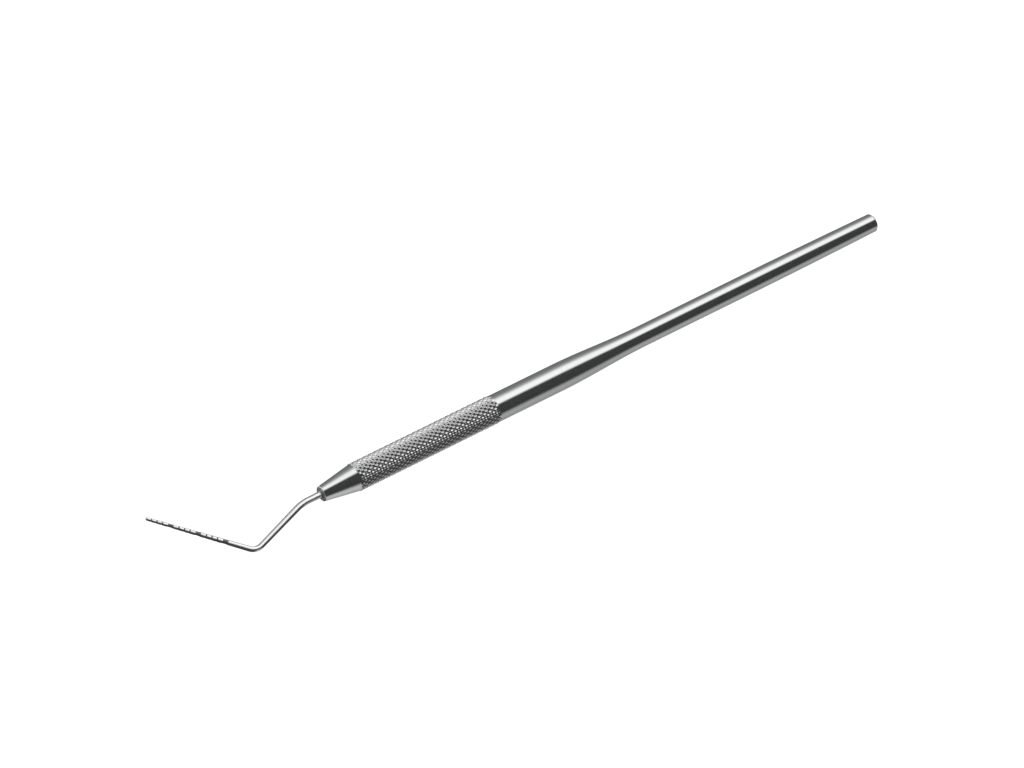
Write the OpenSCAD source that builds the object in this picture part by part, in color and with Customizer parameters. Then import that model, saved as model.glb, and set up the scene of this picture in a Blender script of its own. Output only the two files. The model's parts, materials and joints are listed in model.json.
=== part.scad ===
// Graduated periodontal probe, single-ended, lying at rest on a table.
// Three pieces: a turned and knurled steel handle, a bent and ground steel
// probe wire whose tang sits in a blind bore in the nose, and the braze metal
// that fills the bore around the tang.
// Row frame: +X runs from the probe's end of the handle to its plain end, and
// +Z is up from the table. The origin is at the bottom centre of the box
// around the whole instrument.

/* [Handle] */
// Length of the handle, nose face to end face
handle_len = 120; // [116:0.5:130]
// Diameter of the flat nose face
nose_d = 2.62; // [2.4:0.01:3]
// Width of the broken edge around the nose face
nose_edge = 0.1; // [0.05:0.01:0.15]
// Where the nose cone has opened out to the barrel's diameter, from the nose face
cone_len = 6.9; // [6:0.1:8]
// Diameter of the smooth barrel behind the grip
barrel_d = 4.94; // [4.8:0.01:5]
// Where the barrel ends and the waist begins, from the nose face
barrel_end = 50; // [45:0.5:52]
// Where the waist has run down to the tail, from the nose face
waist_end = 69; // [64:0.5:72]
// Diameter of the cylindrical part of the tail
tail_d = 3.74; // [3.4:0.01:4]
// Where the tail begins its last gentle taper, from the nose face
tail_end = 92; // [85:0.5:96]
// Diameter at the plain end, before its chamfer
end_d = 3.36; // [3:0.01:3.6]
// Chamfer of the plain end
end_chamfer = 0.3; // [0.1:0.05:0.5]

/* [Grip] */
// Diameter over the crests of the knurl
grip_d = 5.2; // [5.1:0.01:5.4]
// Length of the slope from the cone up to the knurl's crests
grip_lead = 0.2; // [0.1:0.05:0.5]
// Where the knurl ends, from the nose face
grip_end = 36.2; // [30:0.1:40]
// Length of the slope from the knurl's crests down to the barrel
grip_fade = 0.4; // [0.2:0.05:0.8]

/* [Probe wire] */
// Wire diameter in the bore and where it leaves the nose
root_d = 1.2; // [1.1:0.01:1.3]
// Wire diameter around the first bend
neck_d = 1.14; // [1:0.01:1.2]
// Wire diameter around the corner, where the working end's taper starts
corner_d = 1.02; // [0.9:0.01:1.05]
// Diameter of the rounded tip
tip_d = 0.62; // [0.5:0.01:0.65]
// From the nose face to the middle of the first bend
first_len = 4.05; // [3.5:0.05:5]
// From the middle of the first bend to the middle of the corner
shank_len = 12.25; // [11:0.05:13]
// From the middle of the corner to the tip
work_len = 20.3; // [19:0.05:22]
// Angle of the first bend
first_turn = 18.2; // [16:0.1:22]
// Angle of the corner, which turns back across the axis
corner_turn = 59.2; // [55:0.1:64]
// Centreline radius of the first bend
first_radius = 9; // [7:0.5:10]
// Centreline radius of the corner
corner_radius = 2.4; // [2:0.1:3]

/* [Graduations] */
// Distance from one graduation to the next
grade_step = 1; // [1:0.1:1.05]
// Width of a single ground line
line_w = 0.25; // [0.2:0.05:0.35]
// Depth of a single ground line
line_depth = 0.04; // [0.02:0.01:0.05]
// Depth of a band one graduation wide
band_depth = 0.06; // [0.04:0.01:0.08]

/* [Joint in the nose] */
// Length of the tang in the bore
tang_len = 10; // [8:0.5:12]
// Diameter of the bore
bore_d = 1.35; // [1.34:0.01:1.5]
// Distance from the end of the tang to the end of the bore's wall
bore_relief = 0.5; // [0.3:0.1:1]
// Height and width of the braze fillet at the mouth
fillet = 0.18; // [0.1:0.01:0.2]

/* [Hidden] */
round_fn = 96;
waist_steps = 24;
taper_steps = 8;
arc_steps = 8;
drill_angle = 118;     // included angle of the drill point at the bore's end
tang_chamfer = 0.15;
// A straight stretch reaches this far into the bends at its ends, and a bend is
// this much thicker, so that the wire is one solid with no coincident walls.
lap = 0.05;
bend_extra = 0.01;

barrel_r = barrel_d / 2;
tail_r = tail_d / 2;
grip_r = grip_d / 2;
tip_r = tip_d / 2;
corner_r = (corner_d + bend_extra) / 2;
work_angle = corner_turn - first_turn;
first_tangent = first_radius * tan(first_turn / 2);
corner_tangent = corner_radius * tan(corner_turn / 2);
first_run = first_len - first_tangent;
shank_run = shank_len - first_tangent - corner_tangent;
work_run = work_len - corner_tangent;

// The deepest that the wire's centreline goes away from the tip's side.
corner_drop = (shank_len - corner_tangent) * sin(first_turn)
            + corner_radius * (1 - cos(first_turn));
// At rest the handle lies on its grip, and the instrument has rolled until the
// outside of the corner touches the table, which lifts the tip.
roll = asin((grip_r - corner_r) / corner_drop);

// Centre of the tip's rounding, from the axis and the nose face.
tip_x = -(first_len + shank_len * cos(first_turn) + (work_len - tip_r) * cos(work_angle));
tip_y = (work_len - tip_r) * sin(work_angle) - shank_len * sin(first_turn);
x_low = tip_x - tip_r;
y_low = -(corner_drop * cos(roll) + corner_r);
y_high = tip_y * cos(roll) + tip_r;

// Lines at 1, 2 and 3 mm, then a band from 4 to 5, and again every 5 mm.
groups = [0, 1, 2];
line_places = [for (g = groups, i = [1, 2, 3]) (5 * g + i) * grade_step];
band_places = [for (g = groups) (5 * g + 4) * grade_step];

// Runs from 0 to 1 with a level start and a level finish.
function ease(t) = (1 - cos(180 * t)) / 2;
// Radius of the working end at a distance from its tip.
function work_r(t) = tip_r + (corner_d / 2 - tip_r) * t / work_run;

// Carries a piece from the instrument's own frame to its place at rest. There
// the nose face is at the origin, the handle runs along +X, and the tip is on
// the +Y side.
module at_rest()
    translate([-(x_low + handle_len) / 2, -(y_low + y_high) / 2, grip_r])
        rotate([roll, 0, 0])
            children();

// Turns a shape made along +Z so that it runs along +X.
module along_x()
    rotate([0, 90, 0])
        children();

// The handle's outline: each point is [radius, distance from the nose face].
function handle_outline() = concat(
    [[0, 0], [nose_d / 2, 0], [nose_d / 2 + nose_edge, nose_edge]],
    [[barrel_r, cone_len], [grip_r, cone_len + grip_lead]],
    [[grip_r, grip_end], [barrel_r, grip_end + grip_fade]],
    [for (i = [0 : waist_steps])
        [barrel_r + (tail_r - barrel_r) * ease(i / waist_steps),
         barrel_end + (waist_end - barrel_end) * i / waist_steps]],
    [for (i = [0 : taper_steps])
        [tail_r - (tail_d - end_d) / 2 * (1 - cos(90 * i / taper_steps)),
         tail_end + (handle_len - end_chamfer - tail_end) * i / taper_steps]],
    [[end_d / 2 - end_chamfer, handle_len], [0, handle_len]]
);

// Blind drilled bore with its drill point.
module nose_bore() {
    wall = tang_len + bore_relief;
    point = bore_d / 2 / tan(drill_angle / 2);
    along_x() {
        translate([0, 0, -1])
            cylinder(d = bore_d, h = wall + 1, $fn = round_fn);
        translate([0, 0, wall])
            cylinder(d1 = bore_d, d2 = 0, h = point, $fn = round_fn);
    }
}

// Turned bar. The knurl's diamonds are not cut here: the grip is plain at the
// diameter of their crests.
module handle() color([0.74, 0.75, 0.74]) at_rest()
    difference() {
        along_x()
            rotate_extrude($fn = round_fn)
                polygon(handle_outline());
        nose_bore();
    }

// Tang and short neck as one turned length along +X: the tang has its end
// chamfered, and the neck starts at the nose face.
module root()
    along_x()
        rotate_extrude($fn = round_fn)
            polygon([
                [0, -tang_len], [root_d / 2 - tang_chamfer, -tang_len],
                [root_d / 2, tang_chamfer - tang_len], [root_d / 2, 0],
                [neck_d / 2, first_run + lap], [0, first_run + lap]
            ]);

// Straight stretch of wire along +X that tapers from one diameter to another.
module run(len, d_from, d_to)
    translate([-lap, 0, 0])
        along_x()
            cylinder(h = len + 2 * lap, d1 = d_from, d2 = d_to, $fn = round_fn);

// Bend that starts at the origin along +X and turns towards +Y, or towards -Y
// for a negative angle.
module bend(radius, turn, d)
    mirror([0, turn < 0 ? 1 : 0, 0])
        translate([0, radius, 0])
            rotate([0, 0, -90])
                rotate_extrude(angle = abs(turn), $fn = 4 * round_fn)
                    translate([radius, 0])
                        circle(d = d + bend_extra, $fn = round_fn);

// Carries what comes next to the end of a bend.
module after_bend(radius, turn)
    translate([radius * sin(abs(turn)), sign(turn) * radius * (1 - cos(turn)), 0])
        rotate([0, 0, turn])
            children();

// Outline of the working end, from its rounded tip: [radius, distance].
function work_outline() = concat(
    [for (i = [0 : arc_steps])
        [tip_r * sin(90 * i / arc_steps), tip_r * (1 - cos(90 * i / arc_steps))]],
    [for (k = [0 : len(marks) - 1]) each mark_outline(marks[k])],
    [[work_r(work_run), work_run + lap], [0, work_run + lap]]
);

// Each mark is [start, end, depth], from the tip.
marks = [for (g = groups) each concat(
    [for (i = [0 : 2]) let (at = line_places[3 * g + i])
        [at - line_w / 2, at + line_w / 2, line_depth]],
    [[band_places[g], band_places[g] + grade_step, band_depth]]
)];

function mark_outline(m) = [
    [work_r(m[0]), m[0]], [work_r(m[0]) - m[2], m[0]],
    [work_r(m[1]) - m[2], m[1]], [work_r(m[1]), m[1]]
];

// Working end along +X, from the corner to the tip, with its ground marks.
module graduated_end()
    translate([work_run, 0, 0])
        rotate([0, -90, 0])
            rotate_extrude($fn = round_fn)
                polygon(work_outline());

// One length of wire: tang, short neck, first bend, shank, corner and the
// graduated working end. It leaves the nose along -X, so it is made along +X
// and turned about Y.
module probe_wire() color([0.66, 0.67, 0.66]) at_rest() rotate([0, 180, 0]) {
    root();
    translate([first_run, 0, 0]) {
        bend(first_radius, -first_turn, neck_d);
        after_bend(first_radius, -first_turn) {
            run(shank_run, neck_d, corner_d);
            translate([shank_run, 0, 0]) {
                bend(corner_radius, corner_turn, corner_d);
                after_bend(corner_radius, corner_turn)
                    graduated_end();
            }
        }
    }
}

// Film of braze metal around the tang, with a small fillet at the mouth.
module braze_joint() color([0.78, 0.76, 0.7]) at_rest() along_x()
    rotate_extrude($fn = round_fn)
        polygon(concat(
            [[root_d / 2, tang_len - tang_chamfer], [bore_d / 2, tang_len - tang_chamfer]],
            [[bore_d / 2, 0]],
            [for (i = [0 : arc_steps]) let (a = 90 * i / arc_steps)
                [root_d / 2 + fillet * (1 - sin(a)), -fillet * (1 - cos(a))]],
        ));

handle();
probe_wire();
braze_joint();
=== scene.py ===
# A single-ended graduated periodontal probe of stainless steel, about 150 mm long, as it lies on a table.
# The handle is turned and knurled, the wire is bent and ground, and braze metal fixes the wire's tang in the
# handle's nose. Then come the table, the light and the camera.

import json
import math

import bpy
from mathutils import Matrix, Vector


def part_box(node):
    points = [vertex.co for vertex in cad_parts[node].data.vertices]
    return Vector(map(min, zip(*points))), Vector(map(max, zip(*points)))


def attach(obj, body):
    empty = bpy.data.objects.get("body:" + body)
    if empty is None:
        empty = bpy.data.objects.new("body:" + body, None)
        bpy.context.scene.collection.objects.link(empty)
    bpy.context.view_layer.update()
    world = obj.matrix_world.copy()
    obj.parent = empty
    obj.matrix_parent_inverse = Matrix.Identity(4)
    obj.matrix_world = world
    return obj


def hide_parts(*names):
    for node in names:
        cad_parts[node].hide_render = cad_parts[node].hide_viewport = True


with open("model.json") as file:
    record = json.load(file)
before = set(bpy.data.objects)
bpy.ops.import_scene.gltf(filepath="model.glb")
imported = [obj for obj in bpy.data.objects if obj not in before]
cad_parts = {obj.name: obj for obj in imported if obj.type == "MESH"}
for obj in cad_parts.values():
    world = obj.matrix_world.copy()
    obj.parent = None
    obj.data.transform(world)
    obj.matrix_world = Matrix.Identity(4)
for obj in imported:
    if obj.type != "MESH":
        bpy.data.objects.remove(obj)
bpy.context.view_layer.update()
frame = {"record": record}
mm = 0.001


# ---- Handle ----
# One bar of stainless steel, turned all over: a nose drilled for the wire's tang, a cone, the grip, a smooth
# barrel, a waist and a thin tail. Two sets of helical grooves cross on the grip and leave its diamonds, and
# the cone is turned after them, so it cuts into the first diamonds.

handle_low, handle_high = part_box("handle")
nose = Vector((handle_low.x, (handle_low.y + handle_high.y) / 2, (handle_low.z + handle_high.z) / 2))

# Sizes in millimetres, and places along the bar as distances from the nose face.
handle_len = (handle_high.x - handle_low.x) / mm
nose_r = 1.31
nose_edge = 0.1
cone_len = 6.9
bore_r = 0.675
bore_wall = 10.5
drill_half_angle = math.radians(59)
bore_end = bore_wall + bore_r / math.tan(drill_half_angle)
grip_r = 2.6
grip_lead = 0.2
grip_end = 36.2
grip_fade = 0.4
barrel_r = 2.47
barrel_end = 50
waist_end = 69
tail_r = 1.87
tail_end = 92
end_r = 1.68
end_chamfer = 0.3

# The knurl: how many grooves run each way round, how often the diamonds repeat along the bar, how deep the
# pits are where grooves cross, where the first groove crossing lies, and how many mesh steps cross half a
# diamond.
groove_starts = 19
diamond_repeat = 1.165
pit_depth = 0.24
first_crossing = 0.27
crossing_turned = 0.15
steps_per_half = 5
knurl_start = 6.85
knurl_stop = 36.6
knurl_fade = 0.55
knurl_step = diamond_repeat / (2 * steps_per_half)
handle_columns = 2 * steps_per_half * groove_starts


def handle_radius(s):
    """Outside radius at a distance from the nose face, over the tops of the diamonds on the grip."""
    if s <= cone_len:
        return barrel_r - (barrel_r - nose_r - nose_edge) * (cone_len - s) / (cone_len - nose_edge)
    if s <= grip_end:
        return min(grip_r, barrel_r + (grip_r - barrel_r) * (s - cone_len) / grip_lead)
    if s <= barrel_end:
        return max(barrel_r, grip_r - (grip_r - barrel_r) * (s - grip_end) / grip_fade)
    if s <= waist_end:
        way = (s - barrel_end) / (waist_end - barrel_end)
        return barrel_r - (barrel_r - tail_r) * (1 - math.cos(math.pi * way)) / 2
    way = max(0, s - tail_end) / (handle_len - end_chamfer - tail_end)
    return tail_r - (tail_r - end_r) * (1 - math.cos(math.pi / 2 * way))


def spread(start, stop, count):
    """Evenly spaced places from start to stop, both included."""
    return [start + (stop - start) * i / count for i in range(count + 1)]


# The bar's surface as rows of (distance from the nose face, radius), from the bottom of the bore, out through
# the nose and along the outside to the middle of the plain end.
first_cut = math.ceil((knurl_start - 0.1) / knurl_step)
last_cut = math.floor((knurl_stop + 0.2) / knurl_step)
turned_places = (
    spread(nose_edge, (first_cut - 1) * knurl_step, 8)
    + [i * knurl_step for i in range(first_cut, last_cut + 1)]
    + spread((last_cut + 1) * knurl_step, barrel_end, 10)
    + spread(barrel_end, waist_end, 36)[1:]
    + spread(waist_end, tail_end, 12)[1:]
    + spread(tail_end, handle_len - end_chamfer, 16)[1:]
)
handle_rows = (
    [(bore_end, 0), (bore_wall, bore_r)]
    + [(nose_edge / 2, bore_r), (0, bore_r + nose_edge / 2), (0, nose_r)]
    + [(s, handle_radius(s)) for s in turned_places]
    + [(handle_len, end_r - end_chamfer), (handle_len, 0)]
)


def feed(tree, socket, value):
    """Links a node's output into a socket, or sets the socket to a plain value."""
    if isinstance(value, bpy.types.NodeSocket):
        tree.links.new(value, socket)
    else:
        socket.default_value = value


def add(tree, kind, inputs=None, **settings):
    """A new node with its settings, and its inputs by name or number."""
    node = tree.nodes.new(kind)
    for setting, value in settings.items():
        setattr(node, setting, value)
    for key, value in (inputs or {}).items():
        feed(tree, node.inputs[key], value)
    return node


def calc(tree, operation, *values):
    """The result of a Math node."""
    return add(tree, "ShaderNodeMath", dict(enumerate(values)), operation=operation).outputs[0]


def mix(tree, factor, low, high):
    """A number from low to high as factor goes from 0 to 1."""
    return calc(tree, "MULTIPLY_ADD", factor, calc(tree, "SUBTRACT", high, low), low)


def vector(tree, operation, *values):
    """The result of a Vector Math node with a vector result."""
    node = add(tree, "ShaderNodeVectorMath", dict(enumerate(values)), operation=operation)
    return node.outputs["Vector"]


def scaled(tree, source, factor):
    """A vector times a number."""
    inputs = {"Vector": source, "Scale": factor}
    return add(tree, "ShaderNodeVectorMath", inputs, operation="SCALE").outputs["Vector"]


def step_up(tree, value, start, stop):
    """0 below start, 1 above stop, and smooth between them."""
    inputs = {"Value": value, "From Min": start, "From Max": stop}
    return add(tree, "ShaderNodeMapRange", inputs, interpolation_type="SMOOTHSTEP").outputs["Result"]


def new_tree(name, kind, inputs, outputs):
    """A node tree with named inputs and outputs; returns it with its two interface nodes."""
    tree = bpy.data.node_groups.new(name, kind)
    for direction, sockets in (("INPUT", inputs), ("OUTPUT", outputs)):
        for socket, socket_kind in sockets.items():
            tree.interface.new_socket(
                name=socket, in_out=direction, socket_type="NodeSocket" + socket_kind)
    return tree, tree.nodes.new("NodeGroupInput").outputs, tree.nodes.new("NodeGroupOutput").inputs


def named(tree, attribute):
    """A named attribute of the mesh, as a number."""
    node = add(tree, "GeometryNodeInputNamedAttribute", {"Name": attribute}, data_type="FLOAT")
    return node.outputs["Attribute"]


def store(tree, mesh, attribute, value):
    """The mesh with a number stored on its points."""
    inputs = {"Geometry": mesh, "Name": attribute, "Value": value}
    node = add(tree, "GeometryNodeStoreNamedAttribute", inputs, data_type="FLOAT", domain="POINT")
    return node.outputs["Geometry"]


# A grid with one row of points for each of the piece's rows, still flat. Each point knows how far along the
# piece it is, its radius, how much of its ring has gone by, and the row's own mark.
row_grid, given, result = new_tree(
    "row_grid", "GeometryNodeTree", {"Rows": "Geometry", "Columns": "Int"}, {"Mesh": "Geometry"})
row_count = add(row_grid, "GeometryNodeAttributeDomainSize", {"Geometry": given["Rows"]}, component="MESH")


def whole(tree, operation, *values):
    """The result of an Integer Math node."""
    return add(tree, "FunctionNodeIntegerMath", dict(enumerate(values)), operation=operation).outputs[0]


ring_size = whole(row_grid, "ADD", given["Columns"], 1)
index = add(row_grid, "GeometryNodeInputIndex").outputs[0]
row = whole(row_grid, "DIVIDE_FLOOR", index, ring_size)
column = whole(row_grid, "MODULO", index, ring_size)
grid = add(row_grid, "GeometryNodeMeshGrid", {
    "Vertices X": row_count.outputs["Point Count"], "Vertices Y": ring_size})
position = add(row_grid, "GeometryNodeInputPosition").outputs[0]
sampled = add(row_grid, "GeometryNodeSampleIndex", data_type="FLOAT_VECTOR", domain="POINT")
for socket, value in (("Geometry", given["Rows"]), ("Value", position), ("Index", row)):
    feed(row_grid, sampled.inputs[socket], value)
parts = add(row_grid, "ShaderNodeSeparateXYZ", {0: sampled.outputs["Value"]}).outputs
mesh = grid.outputs["Mesh"]
for attribute, value in (("along", parts["X"]), ("radius", parts["Y"]), ("mark", parts["Z"]),
                         ("turn", calc(row_grid, "DIVIDE", column, given["Columns"]))):
    mesh = store(row_grid, mesh, attribute, value)
feed(row_grid, result["Mesh"], mesh)

# Rolls the flat grid up around a path, closes its seam and its ends, and keeps edges over the limit sharp.
weld_distance = 0.001
wrap_round, given, result = new_tree(
    "wrap_round_path", "GeometryNodeTree",
    {"Mesh": "Geometry", "Path": "Geometry", "Start": "Float", "Sharp": "Float"}, {"Mesh": "Geometry"})
from_start = calc(wrap_round, "ADD", named(wrap_round, "along"), given["Start"])
on_path = add(wrap_round, "GeometryNodeSampleCurve", {
    "Curves": given["Path"], "Length": from_start}, mode="LENGTH")
angle = calc(wrap_round, "MULTIPLY", named(wrap_round, "turn"), 2 * math.pi)
across = on_path.outputs["Normal"]
beside = vector(wrap_round, "CROSS_PRODUCT", across, on_path.outputs["Tangent"])
spoke = vector(wrap_round, "ADD", scaled(wrap_round, across, calc(wrap_round, "COSINE", angle)),
               scaled(wrap_round, beside, calc(wrap_round, "SINE", angle)))
place = vector(wrap_round, "ADD", on_path.outputs["Position"],
               scaled(wrap_round, spoke, named(wrap_round, "radius")))
rolled = add(wrap_round, "GeometryNodeSetPosition", {"Geometry": given["Mesh"], "Position": place})
closed = add(wrap_round, "GeometryNodeMergeByDistance", {
    "Geometry": rolled.outputs[0], "Distance": weld_distance * mm})
smooth = add(wrap_round, "GeometryNodeSetShadeSmooth", {
    "Geometry": closed.outputs[0], "Shade Smooth": True}, domain="FACE")
bent = add(wrap_round, "GeometryNodeInputMeshEdgeAngle").outputs["Unsigned Angle"]
crisp = add(wrap_round, "GeometryNodeSetShadeSmooth", {
    "Geometry": smooth.outputs[0], "Selection": calc(wrap_round, "GREATER_THAN", bent, given["Sharp"]),
    "Shade Smooth": False}, domain="EDGE")
feed(wrap_round, result["Mesh"], crisp.outputs[0])


bend_steps = 28


def finish_tree(tree, mesh, given, result):
    """Wraps the grid round the path and gives it its material, as the end of a piece's tree."""
    path = add(tree, "GeometryNodeObjectInfo", {"Object": given["Path"]}).outputs["Geometry"]
    filleted = add(tree, "GeometryNodeFilletCurve", {
        "Curve": path, "Count": bend_steps,
        "Radius": add(tree, "GeometryNodeInputRadius").outputs[0]}, mode="POLY")
    wrapped = add(tree, "GeometryNodeGroup", node_tree=wrap_round)
    for socket, value in (("Mesh", mesh), ("Path", filleted.outputs[0]),
                          ("Start", given["Start"]), ("Sharp", given["Sharp"])):
        feed(tree, wrapped.inputs[socket], value)
    real = add(tree, "GeometryNodeRealizeInstances", {"Geometry": wrapped.outputs[0]})
    coated = add(tree, "GeometryNodeSetMaterial", {
        "Geometry": real.outputs[0], "Material": given["Material"]})
    feed(tree, result["Mesh"], coated.outputs[0])


piece_inputs = {"Rows": "Geometry", "Path": "Object", "Columns": "Int", "Start": "Float",
                "Sharp": "Float", "Material": "Material"}

# Turns a bar from its rows and knurls its grip.
knurl_inputs = {"Grooves": "Int", "Repeat": "Float", "Depth": "Float", "Offset": "Float",
                "Turned": "Float", "First cut": "Float", "Last cut": "Float", "Fade": "Float"}
turn_and_knurl, given, result = new_tree(
    "turn_and_knurl", "GeometryNodeTree", piece_inputs | knurl_inputs, {"Mesh": "Geometry"})
tree = turn_and_knurl
grid = add(tree, "GeometryNodeGroup", node_tree=row_grid)
feed(tree, grid.inputs["Rows"], given["Rows"])
feed(tree, grid.inputs["Columns"], given["Columns"])
turns = calc(tree, "MULTIPLY", named(tree, "turn"), given["Grooves"])
turns = calc(tree, "SUBTRACT", turns, given["Turned"])
repeats = calc(tree, "SUBTRACT", named(tree, "along"), given["Offset"])
repeats = calc(tree, "DIVIDE", repeats, given["Repeat"])
# Each wave is 0 in the middle of a groove of its set and 1 midway between two grooves.
right_wave = calc(tree, "MULTIPLY", calc(tree, "PINGPONG", calc(tree, "ADD", turns, repeats), 0.5), 2)
left_wave = calc(tree, "MULTIPLY", calc(tree, "PINGPONG", calc(tree, "SUBTRACT", turns, repeats), 0.5), 2)
# The two wheels' prints add up: a pit where two grooves cross, and a rounded peak amid each diamond.
prints = calc(tree, "ADD", step_up(tree, right_wave, 0.0, 1.0), step_up(tree, left_wave, 0.0, 1.0))
height = calc(tree, "DIVIDE", prints, 2)
# The knurling tool's wheels bite within a short way at both ends of the grip.
past_first = calc(tree, "SUBTRACT", named(tree, "along"), given["First cut"])
past_first = calc(tree, "DIVIDE", past_first, given["Fade"])
before_last = calc(tree, "SUBTRACT", given["Last cut"], named(tree, "along"))
before_last = calc(tree, "DIVIDE", before_last, given["Fade"])
bite = calc(tree, "MINIMUM", calc(tree, "MAXIMUM", calc(tree, "MINIMUM", past_first, before_last), 0), 1)
cut = calc(tree, "MULTIPLY", calc(tree, "SUBTRACT", 1, height), bite)
mesh = store(tree, grid.outputs[0], "groove", cut)
mesh = store(tree, mesh, "knurled", bite)
radius = calc(tree, "SUBTRACT", named(tree, "radius"), calc(tree, "MULTIPLY", cut, given["Depth"]))
mesh = store(tree, mesh, "radius", radius)
# The triangles' diagonals follow the nearer groove, so that its bottom is a straight line.
along_left = calc(tree, "LESS_THAN", left_wave, right_wave)
split = add(tree, "GeometryNodeTriangulate", {
    "Mesh": mesh, "Selection": along_left}, quad_method="FIXED")
split = add(tree, "GeometryNodeTriangulate", {
    "Mesh": split.outputs[0]}, quad_method="FIXED_ALTERNATE")
finish_tree(tree, split.outputs[0], given, result)


def make_path(name, points, bend_radii):
    """A bent line through the points; each point's radius is the radius of the bend there."""
    curve = bpy.data.curves.new(name, "CURVE")
    curve.dimensions = "3D"
    spline = curve.splines.new("POLY")
    spline.points.add(len(points) - 1)
    for point, place, radius in zip(spline.points, points, bend_radii):
        point.co = (*place, 1)
        point.radius = radius
    path = bpy.data.objects.new(name, curve)
    bpy.context.scene.collection.objects.link(path)
    return path


def form(name, rows, tree, **inputs):
    """Makes a piece from its rows with its tree, and leaves it a plain mesh."""
    start = bpy.data.meshes.new(name + "_rows")
    start.from_pydata([(s * mm, r * mm, mark[0] if mark else 0) for s, r, *mark in rows], [], [])
    piece = bpy.data.objects.new(name, start)
    bpy.context.scene.collection.objects.link(piece)
    shape = piece.modifiers.new("shape", "NODES")
    shape.node_group = tree
    for socket in tree.interface.items_tree:
        key = socket.name.lower().replace(" ", "_")
        if socket.in_out == "INPUT" and key in inputs:
            shape[socket.identifier] = inputs[key]
    evaluated = piece.evaluated_get(bpy.context.evaluated_depsgraph_get())
    finished = bpy.data.meshes.new_from_object(evaluated)
    piece.modifiers.clear()
    piece.data = finished
    finished.name = name
    bpy.data.meshes.remove(start)
    return piece


# Fine rings left by the turning tool. Height and tone change quickly along the piece and slowly round it.
ring_stretch = 0.12
turning_marks, given, result = new_tree(
    "turning_marks", "ShaderNodeTree", {"Place": "Vector", "Spacing": "Float"},
    {"Height": "Float", "Tone": "Float"})
stretch = add(turning_marks, "ShaderNodeCombineXYZ", {
    "X": calc(turning_marks, "DIVIDE", 1, given["Spacing"]),
    "Y": ring_stretch, "Z": ring_stretch}).outputs[0]
streaks = vector(turning_marks, "MULTIPLY", given["Place"], stretch)
rings = add(turning_marks, "ShaderNodeTexNoise", {
    "Vector": streaks, "Scale": 1, "Detail": 4, "Roughness": 0.7})
broad = add(turning_marks, "ShaderNodeTexNoise", {
    "Vector": scaled(turning_marks, streaks, ring_stretch), "Scale": 1, "Detail": 2, "Roughness": 0.5})
feed(turning_marks, result["Height"], rings.outputs[0])
feed(turning_marks, result["Tone"], broad.outputs[0])

# Marks of use: hairline scratches that run in a few directions, and faint patches dulled by handling.
handling_wear, given, result = new_tree(
    "handling_wear", "ShaderNodeTree", {"Place": "Vector"}, {"Scratches": "Float", "Patches": "Float"})
scratch_width = 0.0025
scratched_above = 0.56
scratch_runs = ((0.3, 0.5, 0), (1.4, -0.7, 31), (2.3, 1.2, 67))
scratches = 0.0
for turn_x, turn_z, shift in scratch_runs:
    turned = add(handling_wear, "ShaderNodeMapping", {
        "Vector": given["Place"], "Location": (shift, 0, 0), "Rotation": (turn_x, 0.4, turn_z),
        "Scale": (0.25, 3.2, 3.2)}).outputs[0]
    field = add(handling_wear, "ShaderNodeTexNoise", {
        "Vector": turned, "Scale": 1, "Detail": 1}).outputs[0]
    from_line = calc(handling_wear, "ABSOLUTE", calc(handling_wear, "SUBTRACT", field, 0.5))
    line = calc(handling_wear, "LESS_THAN", from_line, scratch_width)
    here = add(handling_wear, "ShaderNodeTexNoise", {
        "Vector": given["Place"], "Scale": 0.21 + 0.03 * turn_x, "Detail": 0}).outputs[0]
    near = calc(handling_wear, "GREATER_THAN", here, scratched_above)
    shown = calc(handling_wear, "MULTIPLY", line, near)
    scratches = calc(handling_wear, "MAXIMUM", shown, scratches)
patches = add(handling_wear, "ShaderNodeTexNoise", {
    "Vector": given["Place"], "Scale": 0.35, "Detail": 3})
feed(handling_wear, result["Scratches"], scratches)
feed(handling_wear, result["Patches"], patches.outputs[0])


def new_material(name):
    """An empty metal material; returns it with its tree and its shader."""
    material = bpy.data.materials.new(name)
    material.use_nodes = True
    shader = material.node_tree.nodes["Principled BSDF"]
    shader.inputs["Metallic"].default_value = 1
    return material, material.node_tree, shader


def place_in_mm(tree):
    """Object coordinates in millimetres."""
    return scaled(tree, add(tree, "ShaderNodeTexCoord").outputs["Object"], 1 / mm)


def tint(tree, factor, low, high):
    """A colour from low to high as factor goes from 0 to 1; each end is a colour or a node's output."""
    node = tree.nodes.new("ShaderNodeMix")
    node.data_type = "RGBA"
    colour_sockets = {socket.identifier: socket for socket in node.inputs}
    feed(tree, node.inputs["Factor"], factor)
    for key, colour in (("A_Color", low), ("B_Color", high)):
        feed(tree, colour_sockets[key], (*colour, 1) if isinstance(colour, tuple) else colour)
    return next(socket for socket in node.outputs if socket.identifier == "Result_Color")


def read_mark(tree, attribute):
    """A number that the mesh carries on its points."""
    return add(tree, "ShaderNodeAttribute", attribute_name=attribute).outputs["Fac"]


bright_steel = (0.63, 0.645, 0.635)
worn_steel = (0.56, 0.575, 0.57)
knurl_steel = (0.65, 0.66, 0.65)
# The next colour is painted shade for the knurl's pits.
shaded_pit_steel = (0.42, 0.425, 0.415)
tool_spacing = 0.07
tool_mark_height = 0.002
handle_gloss = (0.10, 0.18)
scratch_dulling = 0.15
knurl_dulling = 0.04
pit_dulling = 0.15
facing_dulling = 0.3

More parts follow.
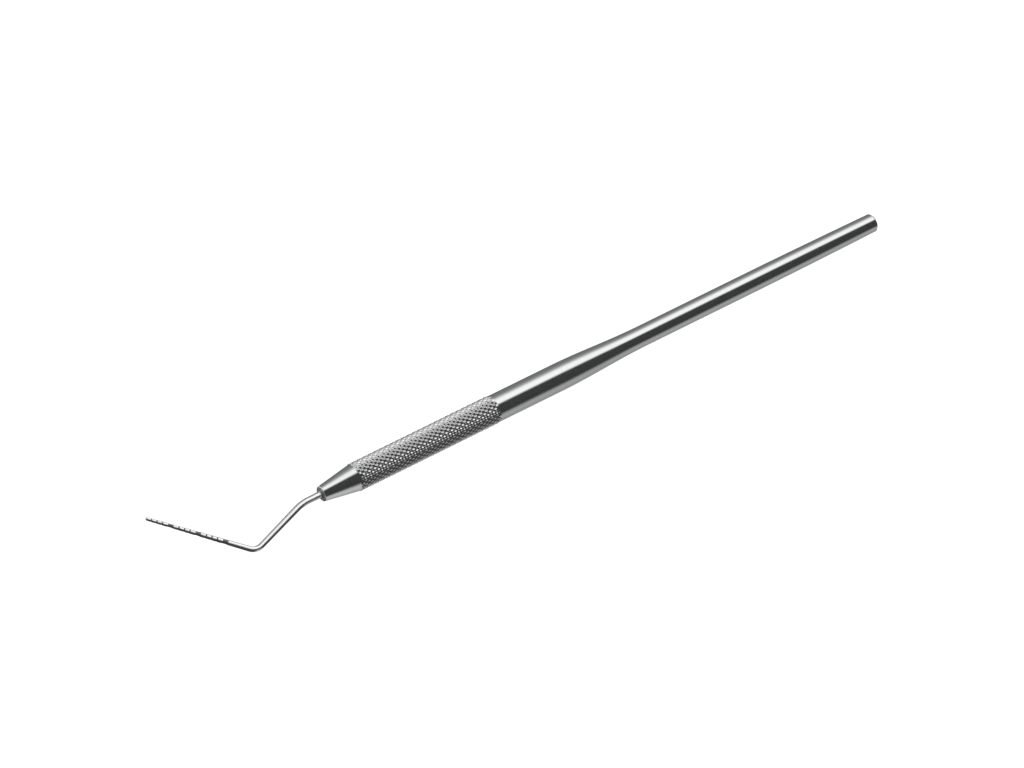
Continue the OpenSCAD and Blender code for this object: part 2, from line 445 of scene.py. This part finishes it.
handle_steel, tree, shader = new_material("handle_steel")
where = place_in_mm(tree)
marks = add(tree, "ShaderNodeGroup", node_tree=turning_marks)
feed(tree, marks.inputs["Place"], where)
feed(tree, marks.inputs["Spacing"], tool_spacing)
wear = add(tree, "ShaderNodeGroup", node_tree=handling_wear)
feed(tree, wear.inputs["Place"], where)
in_groove = read_mark(tree, "groove")
knurled = read_mark(tree, "knurled")
polish = tint(tree, marks.outputs["Tone"], worn_steel, bright_steel)
rolled = tint(tree, knurled, polish, knurl_steel)
# Painted shade: the knurl's pits, where the grooves cross deepest, get a darker steel colour for the shade
# that falls in them. They also get a little more roughness.
pit_shade = step_up(tree, in_groove, 0.75, 1.0)
feed(tree, shader.inputs["Base Color"], tint(tree, pit_shade, rolled, shaded_pit_steel))
dull = mix(tree, wear.outputs["Patches"], *handle_gloss)
dull = calc(tree, "MULTIPLY_ADD", wear.outputs["Scratches"], scratch_dulling, dull)
dull = calc(tree, "MULTIPLY_ADD", knurled, knurl_dulling, dull)
dull = calc(tree, "MULTIPLY_ADD", pit_shade, pit_dulling, dull)
# The nose face keeps the finish of the facing tool, duller than the polished outside.
from_nose = calc(tree, "MULTIPLY", read_mark(tree, "along"), 1 / mm)
faced = calc(tree, "SUBTRACT", 1, step_up(tree, from_nose, 0.0, nose_edge))
dull = calc(tree, "MULTIPLY_ADD", faced, facing_dulling, dull)
feed(tree, shader.inputs["Roughness"], dull)
rings = calc(tree, "MULTIPLY", marks.outputs["Height"], calc(tree, "SUBTRACT", 1, knurled))
bump = add(tree, "ShaderNodeBump", {
    "Height": rings, "Distance": tool_mark_height * mm, "Strength": 1.0})
feed(tree, shader.inputs["Normal"], bump.outputs[0])

# The path starts a little ahead of the nose, because the braze fillet stands there.
ahead = 1.0
sharp_edge = math.radians(30)
path_start = nose - Vector((ahead * mm, 0, 0))
path_end = nose + Vector((handle_len * mm, 0, 0))
axis_path = make_path("handle_axis", [path_start, path_end], [0, 0])
handle = form(
    "turned_handle", handle_rows, turn_and_knurl, path=axis_path, columns=handle_columns,
    start=ahead * mm, sharp=sharp_edge, material=handle_steel, grooves=groove_starts,
    repeat=diamond_repeat * mm, depth=pit_depth * mm, offset=first_crossing * mm,
    turned=crossing_turned, first_cut=knurl_start * mm, last_cut=knurl_stop * mm,
    fade=knurl_fade * mm)
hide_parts("handle")
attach(handle, "root")


# ---- Braze joint ----
# Pale silver braze that fills the thin space between the bore and the wire's tang. At the mouth it has drawn
# up into a small hollow fillet around the wire.

root_r = 0.6
film_end = 9.85
fillet = 0.18
fillet_turns = [math.radians(a) for a in range(0, 91, 9)]
fillet_arc = [(-fillet * (1 - math.cos(a)), root_r + fillet * (1 - math.sin(a))) for a in fillet_turns]
braze_rows = [(film_end, root_r), (film_end, bore_r), (0, bore_r)] + fillet_arc + [(film_end, root_r)]

# Turns or draws a plain round piece from its rows.
turn_plain, given, result = new_tree(
    "turn_plain", "GeometryNodeTree", piece_inputs, {"Mesh": "Geometry"})
grid = add(turn_plain, "GeometryNodeGroup", node_tree=row_grid)
feed(turn_plain, grid.inputs["Rows"], given["Rows"])
feed(turn_plain, grid.inputs["Columns"], given["Columns"])
finish_tree(turn_plain, grid.outputs[0], given, result)

round_columns = 64
# Painted shade: both braze colours are far darker than pale silver, standing for the shade inside the mouth
# of the bore. The grain between them is the braze's own random tone.
braze_shade_dark = (0.20, 0.195, 0.18)
braze_shade_light = (0.30, 0.29, 0.26)
braze_gloss = (0.45, 0.65)
grain_height = 0.006
silver_braze, tree, shader = new_material("silver_braze")
grain = add(tree, "ShaderNodeTexNoise", {
    "Vector": place_in_mm(tree), "Scale": 6, "Detail": 4}).outputs[0]
feed(tree, shader.inputs["Base Color"], tint(tree, grain, braze_shade_dark, braze_shade_light))
feed(tree, shader.inputs["Roughness"], mix(tree, grain, *braze_gloss))
bump = add(tree, "ShaderNodeBump", {
    "Height": grain, "Distance": grain_height * mm, "Strength": 0.6})
feed(tree, shader.inputs["Normal"], bump.outputs[0])

braze = form("braze_fill", braze_rows, turn_plain, path=axis_path, columns=round_columns,
             start=ahead * mm, sharp=sharp_edge, material=silver_braze)
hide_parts("braze_joint")
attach(braze, "root")


# ---- Probe wire ----
# One length of hard stainless wire: the tang, a neck, a gentle first bend, a tapering shank, and a corner
# that brings the working end back across the axis. That end is ground to a slim cone with a rounded tip, and
# carries lines at 1, 2 and 3 mm and a band from 4 to 5 mm, and so on every 5 mm up to 15.

tip_mount = next(m for m in frame["record"]["mounts"] if m["name"] == "probe_tip")
tip = Vector(tip_mount["pos_m"])
tip_way = Vector(tip_mount["axis"]).normalized()

tang_len = 10
first_len = 4.05
work_len = 20.3
first_radius = 9
corner_radius = 2.4
neck_r = 0.575
corner_r = 0.51
tip_r = 0.31
line_w = 0.25
line_depth = 0.04
band_depth = 0.06
wall_w = 0.02
ground_until = 15.5
end_break = 0.15

corner = tip - tip_way * work_len * mm
first_bend = nose - Vector((first_len * mm, 0, 0))
tang_end = nose + Vector((tang_len * mm, 0, 0))
shank_len = (first_bend - corner).length / mm
shank_way = (first_bend - corner).normalized()
first_turn = shank_way.angle(Vector((1, 0, 0)))
corner_turn = shank_way.angle(-tip_way)
first_cut_off = first_radius * math.tan(first_turn / 2)
corner_cut_off = corner_radius * math.tan(corner_turn / 2)

# Distances along the wire from its tip, as the graduations are counted.
corner_start = work_len - corner_cut_off
corner_done = corner_start + corner_radius * corner_turn
first_start = corner_done + shank_len - corner_cut_off - first_cut_off
first_done = first_start + first_radius * first_turn
nose_face = first_done + first_len - first_cut_off
wire_len = nose_face + tang_len


def wire_radius(s):
    """Radius of the wire before grinding its graduations, at a distance from the tip."""
    stations = ((0, tip_r), (corner_start, corner_r), (corner_done, corner_r), (first_start, neck_r),
                (first_done, neck_r), (nose_face, root_r), (wire_len, root_r))
    for (s0, r0), (s1, r1) in zip(stations, stations[1:]):
        if s <= s1:
            return r0 + (r1 - r0) * (s - s0) / (s1 - s0)
    return root_r


# Each graduation is (start, end, depth).
graduations = []
for group in (0, 5, 10):
    graduations += [(group + i - line_w / 2, group + i + line_w / 2, line_depth) for i in (1, 2, 3)]
    graduations += [(group + 4, group + 5, band_depth)]

tip_turns = [math.radians(a) for a in range(0, 91, 10)]
wire_rows = [(tip_r * (1 - math.cos(a)), tip_r * math.sin(a), 0) for a in tip_turns]
for start, end, depth in graduations:
    wire_rows += [(start, wire_radius(start), 0), (start + wall_w, wire_radius(start) - depth, 1),
                  (end - wall_w, wire_radius(end) - depth, 1), (end, wire_radius(end), 0)]
bend_places = (
    spread(ground_until, corner_start, 4) + spread(corner_start, corner_done, 24)[1:]
    + spread(corner_done, first_start, 10)[1:] + spread(first_start, first_done, 24)[1:]
    + spread(first_done, nose_face, 4)[1:] + [wire_len - end_break]
)
wire_rows += [(s, wire_radius(s), 0) for s in bend_places]
wire_rows += [(wire_len, root_r - end_break, 0), (wire_len, 0, 0)]

ground_steel = (0.18, 0.185, 0.18)
draw_spacing = 0.05
draw_mark_height = 0.0007
wire_gloss = (0.2, 0.28)
grinding_dulling = 0.32
wire_steel, tree, shader = new_material("wire_steel")
where = place_in_mm(tree)
along = calc(tree, "MULTIPLY", read_mark(tree, "along"), 1 / mm)
ground = read_mark(tree, "mark")
marks = add(tree, "ShaderNodeGroup", node_tree=turning_marks)
feed(tree, marks.inputs["Place"], add(tree, "ShaderNodeCombineXYZ", {"X": along}).outputs[0])
feed(tree, marks.inputs["Spacing"], draw_spacing)
wear = add(tree, "ShaderNodeGroup", node_tree=handling_wear)
feed(tree, wear.inputs["Place"], where)
polish = tint(tree, marks.outputs["Tone"], worn_steel, bright_steel)
feed(tree, shader.inputs["Base Color"], tint(tree, ground, polish, ground_steel))
dull = mix(tree, wear.outputs["Patches"], *wire_gloss)
dull = calc(tree, "MULTIPLY_ADD", wear.outputs["Scratches"], scratch_dulling, dull)
dull = calc(tree, "MULTIPLY_ADD", ground, grinding_dulling, dull)
feed(tree, shader.inputs["Roughness"], dull)
bump = add(tree, "ShaderNodeBump", {
    "Height": marks.outputs["Height"], "Distance": draw_mark_height * mm, "Strength": 1.0})
feed(tree, shader.inputs["Normal"], bump.outputs[0])

wire_path = make_path("wire_route", [tip, corner, first_bend, tang_end],
                      [0, corner_radius * mm, first_radius * mm, 0])
wire = form("bent_probe_wire", wire_rows, turn_plain, path=wire_path, columns=round_columns,
            start=0.0, sharp=sharp_edge, material=wire_steel)
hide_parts("probe_wire")
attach(wire, "root")

for path in (axis_path, wire_path):
    bpy.data.objects.remove(path)


# ---- Table and light ----
# A plain white table top that gives off its own even light. The steel mirrors a studio of its own, with a
# bright band overhead, cards below and darkness between, which shows as a white stripe over a dark one along
# the instrument. Everything else is lit evenly.

table_mesh = bpy.data.meshes.new("table_top")
half_side = 3.0
table_corners = [(-half_side, -half_side, 0), (half_side, -half_side, 0),
                 (half_side, half_side, 0), (-half_side, half_side, 0)]
table_mesh.from_pydata(table_corners, [], [(0, 1, 2, 3)])
table = bpy.data.objects.new("table_top", table_mesh)
bpy.context.scene.collection.objects.link(table)
table_white = bpy.data.materials.new("table_white")
table_white.use_nodes = True
shader = table_white.node_tree.nodes["Principled BSDF"]
shader.inputs["Base Color"].default_value = (0.14, 0.14, 0.14, 1)
shader.inputs["Roughness"].default_value = 0.9
shader.inputs["Specular IOR Level"].default_value = 0
shader.inputs["Emission Color"].default_value = (1, 1, 1, 1)
shader.inputs["Emission Strength"].default_value = 1.0
table_mesh.materials.append(table_white)
table.visible_glossy = False

# Brightness of the studio at each angle round the instrument's long axis: 0 is level in front, 90 is
# overhead, 180 is level behind and -90 is straight down. Beside overhead is for light towards either end.
overhead = [(-90, 1.53), (90, 1.53), (104, 1.48), (114, 1.13), (124, 0.7), (134, 0.45), (146, 0.32),
            (162, 0.25), (186, 0.24), (204, 0.0), (270, 0.0)]
below = [(-90, 0.42), (-75, 0.42), (-58, 0.54), (-34, 0.54), (-22, 0.34), (-12, 0.1), (-4, 0.0),
         (186, 0.0), (204, 0.26), (240, 0.36), (270, 0.42)]
beside_overhead = [(-90, 0.45), (100, 0.45), (122, 0.95), (150, 1.1), (190, 1.2), (206, 0.0),
                   (270, 0.0)]
dark = 0.055
even_level = 1.05
world = bpy.data.worlds.new("studio")
world.use_nodes = True
bpy.context.scene.world = world
tree = world.node_tree
direction = add(tree, "ShaderNodeSeparateXYZ", {
    0: add(tree, "ShaderNodeTexCoord").outputs["Generated"]}).outputs
turned = calc(tree, "ARCTAN2", direction["Z"], calc(tree, "MULTIPLY", direction["Y"], -1))
way_round = calc(tree, "FRACT", calc(tree, "ADD", calc(tree, "DIVIDE", turned, 2 * math.pi), 0.25))


def levels(tree, place, stops):
    """A brightness read off a list of (angle, level) at a place from 0 to 1."""
    curve = add(tree, "ShaderNodeFloatCurve", {"Value": place})
    line = curve.mapping.curves[0]
    top = 2.0
    line.points[0].location = ((stops[0][0] + 90) / 360, stops[0][1] / top)
    line.points[1].location = ((stops[-1][0] + 90) / 360, stops[-1][1] / top)
    for degrees, level in stops[1:-1]:
        line.points.new((degrees + 90) / 360, level / top)
    for point in line.points:
        point.handle_type = "VECTOR"
    curve.mapping.update()
    return calc(tree, "MULTIPLY", curve.outputs[0], top)


# The front edge of the overhead band comes a little further forward on the tail's side.
edge_softness = 10
degrees = calc(tree, "MULTIPLY_ADD", way_round, 360, -90)
edge_at = mix(tree, step_up(tree, direction["X"], 0.1, 0.5), 74, 67)
past_edge = calc(tree, "SUBTRACT", degrees, edge_at)
in_box = step_up(tree, past_edge, -edge_softness, edge_softness)
# Towards both ends of the instrument the bright part stands further back.
toward_ends = calc(tree, "ADD", step_up(tree, direction["X"], 0.56, 0.66),
                   calc(tree, "SUBTRACT", 1, step_up(tree, direction["X"], 0.02, 0.12)))
over_middle = levels(tree, way_round, overhead)
over_ends = levels(tree, way_round, beside_overhead)
boxes = mix(tree, toward_ends, over_middle, over_ends)
from_above = calc(tree, "MULTIPLY", boxes, in_box)
# The bright cards that stand below the instrument leave two dim gaps between them.
middle_card = mix(tree, step_up(tree, direction["X"], 0.22, 0.42), 1.5, 1)
middle_card = calc(tree, "MULTIPLY", step_up(tree, direction["X"], 0.08, 0.2), middle_card)
past_middle = step_up(tree, direction["X"], 0.52, 0.62)
middle_card = calc(tree, "MULTIPLY", middle_card, calc(tree, "SUBTRACT", 1, past_middle))
right_card = calc(tree, "MULTIPLY", step_up(tree, direction["X"], 0.74, 0.84), 0.2)
left_card = calc(tree, "SUBTRACT", 1, step_up(tree, direction["X"], -0.66, -0.54))
side_cards = calc(tree, "ADD", right_card, left_card)
cards = calc(tree, "MAXIMUM", middle_card, side_cards)
from_below = calc(tree, "MULTIPLY", levels(tree, way_round, below), cards)
level = calc(tree, "MAXIMUM", calc(tree, "MAXIMUM", from_above, from_below), dark)
seen_in_steel = add(tree, "ShaderNodeBackground", {"Color": (1, 1, 1, 1), "Strength": level})
plain = add(tree, "ShaderNodeBackground", {"Color": (1, 1, 1, 1), "Strength": even_level})
ray = add(tree, "ShaderNodeLightPath").outputs
either = add(tree, "ShaderNodeMixShader", {
    0: ray["Is Glossy Ray"], 1: plain.outputs[0], 2: seen_in_steel.outputs[0]})
feed(tree, tree.nodes["World Output"].inputs[0], either.outputs[0])
bpy.context.scene.view_settings.view_transform = "Standard"

# A soft box close over the probe end whitens the upper side of the bright wire, and nothing else.
wire_box_way = Vector((0.42, -0.36, 0.83)).normalized()
wire_box_across = Vector((0, 0, 1)).cross(wire_box_way).normalized()
wire_box_up = wire_box_way.cross(wire_box_across)
wire_box_size = (1.40, 0.54)
wire_box_centre = (-0.20, -0.13)
wire_box_level = 1.3
soft_box = bpy.data.lights.new("wire_soft_box", "AREA")
soft_box.shape = "RECTANGLE"
soft_box.size, soft_box.size_y = wire_box_size
soft_box.energy = wire_box_level * math.pi * wire_box_size[0] * wire_box_size[1]
wire_box = bpy.data.objects.new("wire_soft_box", soft_box)
wire_box.location = (
    corner + wire_box_way + wire_box_across * wire_box_centre[0] + wire_box_up * wire_box_centre[1])
wire_box.rotation_euler = wire_box_way.to_track_quat("Z", "Y").to_euler()
bpy.context.scene.collection.objects.link(wire_box)
lit_by_box = bpy.data.collections.new("lit_by_wire_soft_box")
lit_by_box.objects.link(wire)
wire_box.light_linking.receiver_collection = lit_by_box


# ---- Camera ----
# A long lens well back, looking down on the instrument from the probe's side, with the tail going away.
# Nothing is shifted and everything is sharp.

camera_azimuth = math.radians(-36.291)
camera_elevation = math.radians(42.029)
camera_distance = 1.5
looks_at = Vector((0.284, 3.439, 0)) * mm
back = Vector((math.sin(camera_azimuth) * math.cos(camera_elevation),
               -math.cos(camera_azimuth) * math.cos(camera_elevation), math.sin(camera_elevation)))
lens = bpy.data.cameras.new("camera")
lens.lens = 302.81
lens.sensor_width = 36
camera = bpy.data.objects.new("camera", lens)
camera.location = looks_at + back * camera_distance
camera.rotation_euler = back.to_track_quat("Z", "Y").to_euler()
bpy.context.scene.collection.objects.link(camera)
bpy.context.scene.camera = camera
